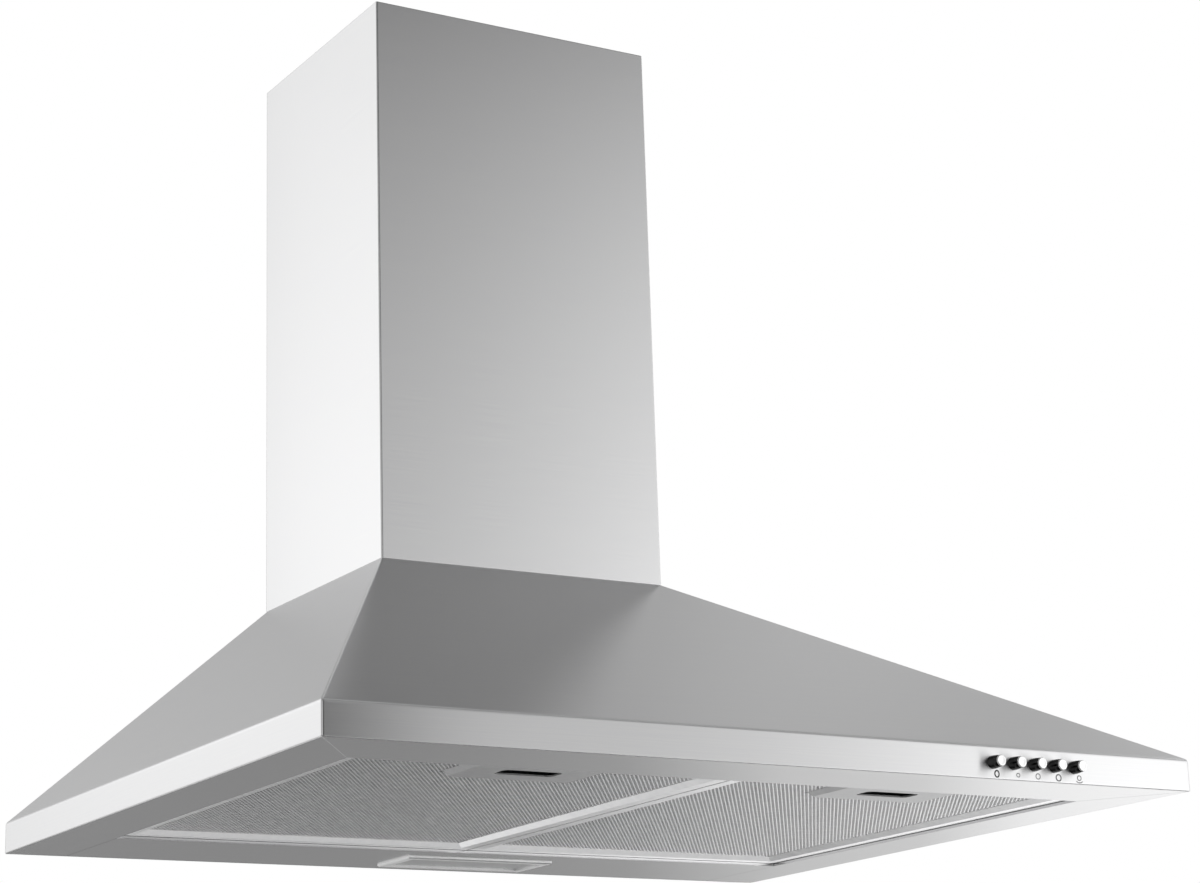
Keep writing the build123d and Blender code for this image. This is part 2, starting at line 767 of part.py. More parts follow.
for side_name, side in (("left", -1), ("right", 1)):
    with BuildPart() as volute:
        with BuildSketch(Plane.YZ):
            add(scroll.sketch_local)
            offset(amount=volute_wall, kind=Kind.INTERSECTION)
        extrude(amount=side * volute_outer)
        with BuildSketch(Plane.XY.offset(deck_under)):
            with Locations((side * collar_flange / 4, outlet_y)):
                Rectangle(collar_flange / 2, collar_flange)
            with Locations((0, outlet_y)):
                with GridLocations(collar_screw_spacing, collar_screw_spacing, 2, 2):
                    Circle(screw_hole_radius, mode=Mode.SUBTRACT)
        extrude(amount=-volute_flange_thickness)
        with BuildSketch(Plane.YZ):
            add(scroll.sketch_local)
        extrude(amount=side * volute_half, mode=Mode.SUBTRACT)
        split(bisect_by=Plane.XY.offset(deck_under), keep=Keep.BOTTOM)
        with BuildSketch(Plane.YZ):
            with Locations((fan_y, fan_z)):
                Circle(inlet_radius)
        extrude(amount=side * 2 * volute_outer, mode=Mode.SUBTRACT)
        with BuildSketch(fan_plane):
            with BuildLine():
                flare_middle = (side * volute_outer, inlet_radius + inlet_lip)
                outside = CenterArc(flare_middle, inlet_lip, -90, side * 90)
                inside = CenterArc(flare_middle, inlet_lip - volute_wall, -90, side * 90)
                Line(outside @ 0, inside @ 0)
                Line(outside @ 1, inside @ 1)
            make_face()
        revolve(axis=fan_axis)
    keep(volute, f"volute_{side_name}")

# Impeller: drum of forward-curved blades between two end rings, on a hub disc; it turns with its shaft
blade_root = impeller_radius - blade_depth
ring_x = impeller_half_length - impeller_disc / 2
hub_end = motor_from_disc / 2
motor_end = motor_from_disc + motor_length

with BuildSketch() as blade:
    with BuildLine():
        ThreePointArc(
            (blade_root, 0),
            Vector(impeller_radius - blade_depth / 2, 0).rotate(Axis.Z, blade_sweep / 4),
            Vector(impeller_radius - blade_thickness, 0).rotate(Axis.Z, blade_sweep),
        )
    trace(line_width=blade_thickness)

with BuildPart() as impeller:
    with BuildSketch(fan_plane):
        with Locations((0, impeller_radius / 2)):
            Rectangle(impeller_disc, impeller_radius)
        with Locations((hub_end - hub_length, 0)):
            Rectangle(hub_length, hub_radius, align=Align.MIN)
        with Locations((0, impeller_radius - blade_depth / 2)):
            with GridLocations(2 * ring_x, 0, 2, 1):
                Rectangle(impeller_disc, blade_depth)
    revolve(axis=fan_axis)
    with BuildSketch(Plane.YZ.offset(-ring_x)):
        with Locations((fan_y, fan_z)):
            with PolarLocations(0, blade_count):
                add(blade.sketch_local)
    extrude(amount=2 * ring_x)
    with BuildSketch(Plane.YZ):
        with Locations((fan_y, fan_z)):
            Circle(shaft_radius + running_gap)
    extrude(amount=impeller_half_length, both=True, mode=Mode.SUBTRACT)
keep(impeller, "impeller")

with BuildPart() as shaft:
    with BuildSketch(Plane.YZ.offset(hub_end - hub_length)):
        with Locations((fan_y, fan_z)):
            Circle(shaft_radius)
    extrude(amount=motor_end - hub_end + hub_length - sheet)
keep(shaft, "shaft")

# Motor: laminated ring between two chamfered end bells, carried on a three-armed bracket at the right inlet
with BuildPart() as motor:
    with BuildSketch(fan_plane) as motor_section:
        with Locations((motor_from_disc, shaft_radius + running_gap)):
            Rectangle(motor_length, motor_radius - shaft_radius - running_gap, align=Align.MIN)
        chamfer(motor_section.vertices().group_by(Axis.Y)[-1], length=bell_chamfer)
        with Locations((motor_from_disc + motor_length / 2, motor_radius)):
            Rectangle(stator_length, 2 * stator_proud)
    revolve(axis=fan_axis)
keep(motor, "motor")

with BuildPart() as motor_bracket:
    with BuildSketch(Plane.YZ.offset(motor_end)):
        with Locations((fan_y, fan_z)):
            Circle(motor_radius / 2)
            with PolarLocations(motor_bracket_reach / 2, 3):
                Rectangle(motor_bracket_reach + motor_bracket_leg, motor_bracket_arm)
            Circle(2 * shaft_radius, mode=Mode.SUBTRACT)
    extrude(amount=motor_bracket_thickness)
    with BuildSketch(Plane.YZ.offset(volute_outer)):
        with Locations((fan_y, fan_z)):
            with PolarLocations(motor_bracket_reach, 3):
                Rectangle(motor_bracket_leg, motor_bracket_arm)
    extrude(amount=motor_end + motor_bracket_thickness - volute_outer)
keep(motor_bracket, "motor_bracket")

# Duct collar on the deck, with two half-moon flaps that fall shut on a ledge and swing on one pin
collar_bore = collar_radius - collar_wall
pin_z = deck_z + flap_height
ledge_top = pin_z - flap_thickness / 2 - seat_gap
flap_radius = collar_bore - flap_clearance
flap_start = flap_knuckle_radius + seat_gap
knuckle_bore = flap_pin_radius + running_gap

with BuildPart() as collar:
    with BuildSketch(Plane.XY.offset(deck_z)):
        with Locations((0, outlet_y)):
            RectangleRounded(collar_flange, collar_flange, collar_flange_corner)
            with GridLocations(collar_screw_spacing, collar_screw_spacing, 2, 2):
                Circle(screw_hole_radius, mode=Mode.SUBTRACT)
    extrude(amount=collar_flange_thickness)
    with BuildSketch(Plane.XY.offset(deck_z)):
        with Locations((0, outlet_y)):
            Circle(collar_radius)
    extrude(amount=collar_height)
    with BuildSketch(Plane.XY.offset(deck_z)):
        with Locations((0, outlet_y)):
            Circle(collar_bore)
    extrude(amount=collar_height, mode=Mode.SUBTRACT)
    with BuildSketch(Plane.XY.offset(ledge_top)):
        with Locations((0, outlet_y)):
            Circle(collar_bore)
            Circle(collar_bore - flap_ledge, mode=Mode.SUBTRACT)
    extrude(amount=-flap_ledge)
    with BuildSketch(Plane.YZ):
        with Locations((outlet_y, pin_z)):
            Circle(knuckle_bore)
    extrude(amount=collar_radius, both=True, mode=Mode.SUBTRACT)
keep(collar, "duct_collar")

with BuildPart() as flap_pin:
    with BuildSketch(Plane.YZ):
        with Locations((outlet_y, pin_z)):
            Circle(flap_pin_radius)
    extrude(amount=collar_radius - seat_gap, both=True)
keep(flap_pin, "flap_pin")

for flap_name, side in (("front", -1), ("rear", 1)):
    knuckle_xs = [side * flap_knuckle_length, -3 * side * flap_knuckle_length]
    with BuildPart() as flap:
        with BuildSketch(Plane.XY.offset(pin_z - flap_thickness / 2)):
            with Locations((0, outlet_y)):
                Circle(flap_radius)
                with Locations((0, side * (flap_start - flap_radius))):
                    Rectangle(2 * flap_radius, 2 * flap_radius, mode=Mode.SUBTRACT)
            with Locations((0, outlet_y + side * flap_start / 2)):
                with Locations(*[(x, 0) for x in knuckle_xs]):
                    Rectangle(flap_knuckle_length, flap_start)
        extrude(amount=flap_thickness)
        for knuckle_x in knuckle_xs:
            with BuildSketch(Plane.YZ.offset(knuckle_x)):
                with Locations((outlet_y, pin_z)):
                    Circle(flap_knuckle_radius)
            extrude(amount=flap_knuckle_length / 2, both=True)
        with BuildSketch(Plane.YZ):
            with Locations((outlet_y, pin_z)):
                Circle(knuckle_bore)
        extrude(amount=flap_radius, both=True, mode=Mode.SUBTRACT)
    keep(flap, f"flap_{flap_name}")

# Wiring: terminal box with its lid on the back panel, and a rubber grommet in the deck for the mains lead
with BuildPart() as terminal_box:
    with BuildSketch(Plane.XZ.offset(sheet)):
        with Locations((terminal_x, terminal_z)):
            Rectangle(terminal_width, terminal_height, align=FRONT_EDGE)
    extrude(amount=terminal_depth)
    with BuildSketch(Plane.XZ.offset(sheet + box_wall)):
        with Locations((terminal_x, terminal_z + terminal_height / 2)):
            Rectangle(terminal_width - 2 * box_wall, terminal_height - 2 * box_wall)
    extrude(amount=terminal_depth, mode=Mode.SUBTRACT)
keep(terminal_box, "terminal_box")

lid_inset = box_wall + seat_gap

with BuildPart() as terminal_cover:
    with BuildSketch(Plane.XZ.offset(sheet + terminal_depth)):
        with Locations((terminal_x, terminal_z + terminal_height / 2)):
            Rectangle(terminal_width, terminal_height)
    extrude(amount=box_wall)
    with BuildSketch(Plane.XZ.offset(sheet + terminal_depth)):
        with Locations((terminal_x, terminal_z + terminal_height / 2)):
            Rectangle(terminal_width - 2 * lid_inset, terminal_height - 2 * lid_inset)
    extrude(amount=-terminal_lid)
keep(terminal_cover, "terminal_cover")

with BuildPart() as grommet:
    with BuildSketch(Plane.XY.offset(deck_under - grommet_lip)):
        with Locations((grommet_x, grommet_y)):
            Circle(grommet_radius + grommet_lip)
    extrude(amount=sheet + 2 * grommet_lip)
    with BuildSketch(Plane.XY.offset(deck_under)):
        with Locations((grommet_x, grommet_y)):
            Circle(2 * grommet_radius)
            Circle(grommet_radius, mode=Mode.SUBTRACT)
    extrude(amount=sheet, mode=Mode.SUBTRACT)
    with BuildSketch(Plane.XY.offset(deck_under - grommet_lip)):
        with Locations((grommet_x, grommet_y)):
            Circle(grommet_bore)
    extrude(amount=sheet + 2 * grommet_lip, mode=Mode.SUBTRACT)
keep(grommet, "cable_grommet")

# Round-headed screws of the duct collar and of the lower chimney's foot
collar_screw_reach = collar_screw_spacing / 2
collar_screw_spots = [
    (x * collar_screw_reach, outlet_y + y * collar_screw_reach)
    for x in (-1, 1)
    for y in (-1, 1)
]
screw_groups = (
    ("collar_screws", deck_z + collar_flange_thickness, collar_screw_spots),
    ("chimney_screws", deck_z + sheet, chimney_screw_spots),
)
for group_name, head_z, spots in screw_groups:
    with BuildPart() as screws:
        with BuildSketch(Plane.XY.offset(head_z)):
            with Locations(*spots):
                Circle(screw_head_radius)
        extrude(amount=screw_head_height)
        with BuildSketch(Plane.XY.offset(head_z)):
            with Locations(*spots):
                Circle(screw_radius)
        extrude(amount=-screw_length)
    keep(screws, group_name)
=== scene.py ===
"""Pyramid wall range hood of the 60 cm class, dressed for a studio picture.

Metres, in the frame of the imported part: +X right, -Y towards the cook, +Z up, the wall at y = 0.
"""
import math

import bmesh
import bpy
import numpy as np
from mathutils import Matrix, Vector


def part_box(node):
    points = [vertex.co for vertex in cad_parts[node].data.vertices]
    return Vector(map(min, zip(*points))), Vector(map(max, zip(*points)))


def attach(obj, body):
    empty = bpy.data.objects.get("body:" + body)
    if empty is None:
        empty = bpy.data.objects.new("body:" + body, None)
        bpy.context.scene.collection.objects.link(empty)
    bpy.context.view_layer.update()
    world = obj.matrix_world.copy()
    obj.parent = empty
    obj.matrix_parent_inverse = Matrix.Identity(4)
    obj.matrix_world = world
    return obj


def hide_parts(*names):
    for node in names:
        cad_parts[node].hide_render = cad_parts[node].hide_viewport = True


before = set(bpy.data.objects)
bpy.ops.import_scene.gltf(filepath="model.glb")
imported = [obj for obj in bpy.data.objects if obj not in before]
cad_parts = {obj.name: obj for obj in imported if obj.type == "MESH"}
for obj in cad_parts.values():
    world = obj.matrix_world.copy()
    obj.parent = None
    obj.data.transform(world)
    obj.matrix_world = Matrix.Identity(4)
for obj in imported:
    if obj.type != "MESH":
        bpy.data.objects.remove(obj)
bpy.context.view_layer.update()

# Canopy skin: pyramid and band, folded and welded from 1 mm stainless sheet and brushed level all round.
# The band has its own, stronger brushing. The press brake rounds the folds, the bottom edge is turned in
# and the rear edge returns along the wall.
MM = 0.001
beside_fold = 0.4 * MM


def linear(hex_colour):
    """Turn an sRGB hex colour into linear red, green, blue and full alpha."""
    srgb = np.array([int(hex_colour[place:place + 2], 16) for place in (1, 3, 5)]) / 255
    shade = np.where(srgb <= 0.04045, srgb / 12.92, ((srgb + 0.055) / 1.055) ** 2.4)
    return (*shade.tolist(), 1.0)


def set_inputs(material, node, inputs):
    """Set each named input of a node to a value, or link it where the value is another node's socket."""
    for name, value in inputs.items():
        if isinstance(value, bpy.types.NodeSocket):
            material.node_tree.links.new(value, node.inputs[name])
        else:
            node.inputs[name].default_value = value


def add_node(material, kind, inputs=None, **settings):
    """Add one shader node, set its properties, and set or link each named input."""
    node = material.node_tree.nodes.new(kind)
    for name, value in settings.items():
        setattr(node, name, value)
    set_inputs(material, node, inputs or {})
    return node


def new_material(name):
    """Start a material with only its output and a principled shader, and return it with the shader."""
    material = bpy.data.materials.new(name)
    material.use_nodes = True
    return material, material.node_tree.nodes["Principled BSDF"]


def brushed_stainless(name, along_mm, roughness, across, relief_share):
    """Stainless sheet with a satin grain: streaks stretched along some axes and fine across the others.

    along_mm gives the streak length on X, Y and Z. The real grit lines lie 0.1 mm apart; they are drawn 0.7
    to 0.9 mm apart so that they show. They vary the tone, the roughness and a shallow bump by a little, and
    level grain spreads reflections up and down, by the share that across gives.
    """
    streak_low, streak_high = 0.3, 0.7
    gloss_spread = 0.015
    grit_depth = 0.05 * MM
    nearly_up = (0.02, 0.01, 1.0)
    quarter_turn = 0.25
    material, shader = new_material(name)
    place = add_node(material, "ShaderNodeTexCoord")
    scale = [1 / (length * MM) for length in along_mm]
    grain = add_node(material, "ShaderNodeMapping", {"Vector": place.outputs["Object"], "Scale": scale})
    streaks = add_node(material, "ShaderNodeTexNoise", {"Vector": grain.outputs["Vector"], "Scale": 1.0,
                                                        "Detail": 3.0, "Roughness": 0.6})
    tone = add_node(material, "ShaderNodeValToRGB", {"Fac": streaks.outputs["Fac"]})
    dark_end, light_end = tone.color_ramp.elements
    dark_end.position = streak_low
    dark_end.color = linear("#D8D8D9")
    light_end.position = streak_high
    light_end.color = linear("#DCDCDC")
    gloss = add_node(material, "ShaderNodeMapRange", {"Value": streaks.outputs["Fac"],
                                                      "From Min": streak_low, "From Max": streak_high,
                                                      "To Min": roughness - gloss_spread,
                                                      "To Max": roughness + gloss_spread})
    relief = add_node(material, "ShaderNodeBump", {"Height": streaks.outputs["Fac"],
                                                   "Strength": relief_share, "Distance": grit_depth})
    surface = add_node(material, "ShaderNodeNewGeometry")
    level = add_node(material, "ShaderNodeVectorMath", {0: surface.outputs["Normal"], 1: nearly_up},
                     operation="CROSS_PRODUCT")
    set_inputs(material, shader, {"Base Color": tone.outputs["Color"], "Metallic": 1.0,
                                  "Roughness": gloss.outputs["Result"], "Normal": relief.outputs["Normal"],
                                  "Tangent": level.outputs["Vector"], "Anisotropic": across,
                                  "Anisotropic Rotation": quarter_turn})
    return material


def grid_faces(rows, columns):
    """Quads between neighbouring points of a grid that is stored row after row."""
    corner = np.arange(rows - 1)[:, None] * columns + np.arange(columns - 1)[None, :]
    return np.stack([corner, corner + 1, corner + columns + 1, corner + columns], axis=-1).reshape(-1, 4)


def put_piece(name, points, faces, material, body, smooth=True):
    """Make one mesh object at the origin from points and faces in metres, and let it ride on a body."""
    mesh = bpy.data.meshes.new(name)
    mesh.from_pydata(np.reshape(points, (-1, 3)).tolist(), [], np.asarray(faces).tolist())
    mesh.polygons.foreach_set("use_smooth", np.full(len(mesh.polygons), smooth))
    mesh.materials.append(material)
    piece = bpy.data.objects.new(name, mesh)
    bpy.context.scene.collection.objects.link(piece)
    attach(piece, body)
    return piece


def put_surface(name, points, material, body):
    """Make one smooth piece from a grid of points, rows by columns."""
    return put_piece(name, points, grid_faces(*points.shape[:2]), material, body)


def thicken(piece, thickness):
    """Give a sheet its thickness on the inner side."""
    wall = piece.modifiers.new("thickness", "SOLIDIFY")
    wall.thickness = thickness
    wall.offset = -1.0


def casing_surface(half_widths, depths, heights, corner, rear_return, rear_gap, rear_round):
    """Skin of a box-like casing that is open at the wall, as a grid of levels by points round the plan.

    Each level has its own half width, depth and height. The plan runs from the rear return on the left along
    the left side and round a quarter circle to the front, and then mirrored along the right side. A plan row
    holds three pairs for X and Y: the signs of half width and depth less the corner radius, the direction of
    that radius, and a shift for the rear fold. Close rows beside each fold keep the flat faces flat.
    """
    corner_points = 6
    quarter = np.linspace(0, math.pi / 2, corner_points)
    fold_x = rear_round * (1 - np.sin(quarter))
    fold_y = rear_round * (np.cos(quarter) - 1) - rear_gap
    rear_shift = np.vstack([
        [[rear_return, -rear_gap], [rear_round + beside_fold, -rear_gap]],
        np.column_stack([fold_x, fold_y]),
        [[0, -rear_gap - rear_round - beside_fold]],
    ])
    turn = np.column_stack([-np.cos(quarter), -np.sin(quarter)])
    rear_rows = np.hstack([np.tile([-1.0, 0.0, -1.0, 0.0], (len(rear_shift), 1)), rear_shift])
    side_row = np.array([[-1.0, -1.0, -1.0, 0.0, 0.0, beside_fold]])
    turn_rows = np.hstack([np.full(turn.shape, -1.0), turn, np.zeros(turn.shape)])
    front_row = np.array([[-1.0, -1.0, 0.0, -1.0, beside_fold, 0.0]])
    left = np.vstack([rear_rows, side_row, turn_rows, front_row])
    right = left[::-1] * np.array([-1, 1, -1, 1, -1, 1])
    plan = np.vstack([left, right])
    levels = np.stack([half_widths, depths, heights], axis=1)[:, None, :]
    x = plan[:, 0] * (levels[..., 0] - corner) + plan[:, 2] * corner + plan[:, 4]
    y = plan[:, 1] * (levels[..., 1] - corner) + plan[:, 3] * corner + plan[:, 5]
    z = np.broadcast_to(levels[..., 2], x.shape)
    return np.stack([x, y, z], axis=-1)


hood_half, hood_depth, band_height = 299 * MM, 500 * MM, 20 * MM
chimney_half, chimney_depth = 109 * MM, 188 * MM
deck_height, sheet = 180 * MM, 1 * MM
bottom_round, fold_length = 0.8 * MM, 1.6 * MM
band_low_row, band_high_row, slope_low_row = 1.4 * MM, 17.6 * MM, 22.0 * MM
edge_points, fold_points = 5, 7
slope_x = (hood_half - chimney_half) / (deck_height - band_height)
slope_y = (hood_depth - chimney_depth) / (deck_height - band_height)
turned_in = np.linspace(math.pi / 2, 0, edge_points)
bottom_inset = bottom_round * (1 - np.cos(turned_in))
bottom_height = bottom_round * (1 - np.sin(turned_in))
# The fold between band and slope is a quadratic curve that leaves the band upright and ends along the slope.
along_fold = np.linspace(0, 1, fold_points)
drawn_in = fold_length * along_fold ** 2 / slope_y
rise = band_height - fold_length * (1 - along_fold) ** 2 + drawn_in
slope_height = np.array([slope_low_row, deck_height - beside_fold, deck_height])
level_height = np.concatenate([bottom_height, [band_low_row, band_high_row], rise, slope_height])
level_drop = np.concatenate([np.zeros(len(bottom_height) + 2), drawn_in, slope_height - band_height])
level_inset = np.concatenate([bottom_inset, np.zeros(len(level_height) - len(bottom_inset))])
canopy_points = casing_surface(
    hood_half - level_inset - level_drop * slope_x,
    hood_depth - level_inset - level_drop * slope_y,
    level_height, corner=1.2 * MM, rear_return=12 * MM, rear_gap=1 * MM, rear_round=2.5 * MM)
pyramid_steel = brushed_stainless("brushed stainless sheet, dull level grain", (60, 60, 0.7),
                                  roughness=0.31, across=0.6, relief_share=0.02)
band_steel = brushed_stainless("brushed stainless band, long level grain", (60, 60, 0.7),
                               roughness=0.33, across=0.9, relief_share=0.02)
canopy = put_surface("canopy_skin", canopy_points, pyramid_steel, "hood")
canopy.data.materials.append(band_steel)
on_band = np.repeat(level_height[1:] <= rise[0], canopy_points.shape[1] - 1)
canopy.data.polygons.foreach_set("material_index", on_band.astype(np.int32))
thicken(canopy, sheet)
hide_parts("canopy_front", "canopy_left", "canopy_right")


# Rim strips and lamp panel: flat stainless strips under the canopy, with upturned lips round the filters.
# They are brushed along their length, like the deck inside the canopy. At the front corners they are mitred,
# and a thin weld, ground almost flush, fills each mitre.
def dress(material, *names):
    """Give CAD pieces whose shape is right their finished material."""
    for name in names:
        for material_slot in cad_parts[name].material_slots:
            material_slot.material = material


rim_length_steel = brushed_stainless("brushed stainless strip, grain along width", (90, 0.9, 90),
                                     roughness=0.16, across=0.0, relief_share=0.003)
rim_side_steel = brushed_stainless("brushed stainless strip, grain along depth", (0.9, 90, 90),
                                   roughness=0.16, across=0.0, relief_share=0.003)
dress(rim_length_steel, "rim_front", "lamp_panel", "canopy_deck")
dress(rim_side_steel, "rim_left", "rim_right")
rim_corner, opening_corner = np.array([298, -499]) * MM, np.array([256, -441]) * MM
mitre_gap, weld_height = 0.5 * MM, 0.06 * MM
for side, direction in (("left", -1), ("right", 1)):
    weld_plan = np.array([rim_corner - [mitre_gap, 0], opening_corner - [mitre_gap, 0],
                          opening_corner + [0, mitre_gap], rim_corner + [0, mitre_gap]]) * [direction, 1]
    weld_points = np.column_stack([weld_plan, np.full(len(weld_plan), weld_height)])
    put_piece(f"mitre_weld_{side}", weld_points, [[0, 1, 2, 3][::-direction]], rim_length_steel, "hood")

# Chimney covers: two channels folded from brushed stainless sheet, open at the wall. The lower one stands on
# the deck, and its top edge is rounded; the upper one, with vent slots, slides up inside it.
chimney_top = 580 * MM
top_round = 0.35 * MM
turn_over = np.linspace(0, math.pi / 2, edge_points)
side_heights = [deck_height, deck_height + beside_fold, chimney_top - top_round - beside_fold]
chimney_heights = np.concatenate([side_heights, chimney_top - top_round * (1 - np.sin(turn_over))])
chimney_inset = np.concatenate([np.zeros(len(side_heights)), top_round * (1 - np.cos(turn_over))])
chimney_points = casing_surface(
    chimney_half - chimney_inset, chimney_depth - chimney_inset, chimney_heights,
    corner=1.2 * MM, rear_return=22 * MM, rear_gap=0.0, rear_round=1.2 * MM)
chimney_steel = brushed_stainless("brushed stainless sheet, level grain", (60, 60, 0.7),
                                  roughness=0.23, across=0.6, relief_share=0.02)
lower_chimney = put_surface("chimney_skin", chimney_points, chimney_steel, "hood")
thicken(lower_chimney, sheet)
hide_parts("lower_chimney")
dress(chimney_steel, "upper_chimney")


# Grease filters: folded aluminium channel frames round an expanded-metal face net, with more layers of net
# behind it. Each net is slit and drawn out into diamond gaps, which are 2.1 by 3.0 mm in the face net and
# wider in the layers behind it.
def mill_aluminium(name, dark, light, roughness):
    """Mill-finish aluminium: a soft mottle of 6 mm patches in tone and roughness, and faint rolling marks."""
    patch_size = 6 * MM
    patch_low, patch_high = 0.35, 0.65
    gloss_spread = 0.05
    mark_length, mark_width, mark_depth = 30 * MM, 0.8 * MM, 0.05 * MM
    material, shader = new_material(name)
    place = add_node(material, "ShaderNodeTexCoord")
    patches = add_node(material, "ShaderNodeTexNoise", {"Vector": place.outputs["Object"],
                                                        "Scale": 1 / patch_size, "Detail": 4.0})
    tone = add_node(material, "ShaderNodeValToRGB", {"Fac": patches.outputs["Fac"]})
    dark_end, light_end = tone.color_ramp.elements
    dark_end.position = patch_low
    dark_end.color = linear(dark)
    light_end.position = patch_high
    light_end.color = linear(light)
    gloss = add_node(material, "ShaderNodeMapRange", {"Value": patches.outputs["Fac"],
                                                      "To Min": roughness - gloss_spread,
                                                      "To Max": roughness + gloss_spread})
    mark_scale = (1 / mark_length, 1 / mark_width, 1 / mark_length)
    marks = add_node(material, "ShaderNodeMapping", {"Vector": place.outputs["Object"], "Scale": mark_scale})
    rolled = add_node(material, "ShaderNodeTexNoise", {"Vector": marks.outputs["Vector"], "Scale": 1.0})
    relief = add_node(material, "ShaderNodeBump", {"Height": rolled.outputs["Fac"], "Strength": 0.015,
                                                   "Distance": mark_depth})
    set_inputs(material, shader, {"Base Color": tone.outputs["Color"], "Metallic": 1.0,
                                  "Roughness": gloss.outputs["Result"], "Normal": relief.outputs["Normal"]})
    return material


def expanded_net(low, high, height, pitch, open_share, thick, bay):
    """Expanded metal between two plan corners, as rings of four quads round diamond gaps.

    Gap centres lie on two interleaved grids. A ring's outer corners are half a pitch from its centre along X
    and Y, and its inner ones the open share of that. Where the sheet has a thickness, four more quads as high
    as that are the walls of the gap. Rings whose centre lies in the latch bay are left out.
    """
    counts = ((high - low) / pitch).astype(int)
    grids = []
    for fewer in (0, 1):
        steps_x, steps_y = (np.arange(count - fewer) - (count - fewer - 1) / 2 for count in counts)
        grids.append(np.stack(np.meshgrid(steps_x, steps_y), axis=-1).reshape(-1, 2))
    centres = np.vstack(grids) * pitch + (low + high) / 2
    in_bay = np.all((centres > bay[0]) & (centres < bay[1]), axis=1)
    centres = centres[~in_bay]
    outer = np.array([[1, 0], [0, 1], [-1, 0], [0, -1]]) * pitch / 2
    inner = outer * open_share
    turn = np.arange(4)
    after = np.roll(turn, -1)
    quads = np.column_stack([turn, turn + 4, after + 4, after])
    corners, lifts = [outer, inner], [0, 0]
    if thick:
        corners, lifts = [outer, inner, inner], [0, 0, thick]
        quads = np.concatenate([quads, np.column_stack([turn + 4, turn + 8, after + 8, after + 4])])
    ring = np.column_stack([np.concatenate(corners), np.repeat(lifts, 4)])
    points = ring + np.column_stack([centres, np.full(len(centres), height)])[:, None]
    faces = quads + len(ring) * np.arange(len(centres))[:, None, None]
    return points.reshape(-1, 3), faces.reshape(-1, 4)


frame_aluminium = mill_aluminium("rolled aluminium channel", "#F2F2F3", "#FAFAFA", roughness=0.36)
plate_aluminium = mill_aluminium("pressed matt aluminium", "#B4B4B5", "#BCBCBC", roughness=0.45)
net_aluminium = mill_aluminium("expanded aluminium net", "#E6E6E7", "#F0F0F0", roughness=0.42)
# The net layers behind the face net are the same aluminium, coloured much darker: painted shade inside the
# filter.
pack_aluminium_painted_shade = mill_aluminium("packed aluminium net layers, painted shade", "#7A7A7C", "#8C8C8E", roughness=0.5)
net_inset = 4 * MM
net_pitch, net_open, net_thick = np.array([2.9, 4.2]) * MM, 0.72, 0.27 * MM
layer_open = 0.7
layer_lifts = np.array([0.5, 2.0]) * MM
layer_pitches = np.array([[3.0, 5.6], [7.0, 5.0]]) * MM
for side in ("left", "right"):
    dress(frame_aluminium, f"filter_frame_{side}")
    dress(plate_aluminium, f"latch_plate_{side}")
    frame_low, frame_high = (np.array(corner)[:2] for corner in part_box(f"filter_frame_{side}"))
    net_low, net_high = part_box(f"filter_net_{side}")
    # The frame's rear tabs stand out behind its rim, so the rear edge is the net's own.
    frame_high[1] = net_high[1]
    low, high = frame_low + net_inset, frame_high - net_inset
    bay = [np.array(corner)[:2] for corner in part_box(f"latch_plate_{side}")]
    net_points, net_faces = expanded_net(low, high, net_low[2], net_pitch, net_open, net_thick, bay)
    net = put_piece(f"face_net_{side}", net_points, net_faces, net_aluminium, f"filter_{side}",
                    smooth=False)
    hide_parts(f"filter_net_{side}")
    pack_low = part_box(f"filter_pack_{side}")[0]
    layer_points, layer_faces = [], []
    for lift, pitch in zip(layer_lifts, layer_pitches):
        points, faces = expanded_net(low, high, pack_low[2] + lift, pitch, layer_open, 0.0, bay)
        layer_faces.append(faces + sum(len(earlier) for earlier in layer_points))
        layer_points.append(points)
    pack = put_piece(f"net_layers_{side}", np.concatenate(layer_points), np.concatenate(layer_faces),
                     pack_aluminium_painted_shade, f"filter_{side}", smooth=False)
    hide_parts(f"filter_pack_{side}")


# Moulded plastic pieces: filter latches, lamp bezel and socket, switch block, terminal box, blower, collar,
# flaps and a rubber grommet. They keep their CAD shapes, and get the fine skin of a spark-eroded mould.
def moulded_plastic(name, colour, roughness, coarse_mm):
    """Moulded thermoplastic: a fine pebbled skin in bump and roughness, with a slight cloudiness in tone."""
    cloud_size, cloud_shade = 25 * MM, 0.92
    gloss_share = 0.2
    skin_strength, skin_depth = 0.1, 0.05 * MM
    material, shader = new_material(name)
    place = add_node(material, "ShaderNodeTexCoord")
    skin = add_node(material, "ShaderNodeTexNoise", {"Vector": place.outputs["Object"],
                                                     "Scale": 1 / (coarse_mm * MM), "Detail": 2.0})
    cloud = add_node(material, "ShaderNodeTexNoise", {"Vector": place.outputs["Object"],
                                                      "Scale": 1 / cloud_size})
    red, green, blue, alpha = linear(colour)
    tone = add_node(material, "ShaderNodeValToRGB", {"Fac": cloud.outputs["Fac"]})
    dark_end, light_end = tone.color_ramp.elements
    dark_end.color = (red * cloud_shade, green * cloud_shade, blue * cloud_shade, alpha)
    light_end.color = (red, green, blue, alpha)
    gloss = add_node(material, "ShaderNodeMapRange", {"Value": skin.outputs["Fac"],
                                                      "To Min": roughness * (1 - gloss_share),
                                                      "To Max": roughness * (1 + gloss_share)})
    relief = add_node(material, "ShaderNodeBump", {"Height": skin.outputs["Fac"], "Strength": skin_strength,
                                                   "Distance": skin_depth})
    set_inputs(material, shader, {"Base Color": tone.outputs["Color"], "IOR": 1.5,
                                  "Roughness": gloss.outputs["Result"], "Normal": relief.outputs["Normal"]})
    return material


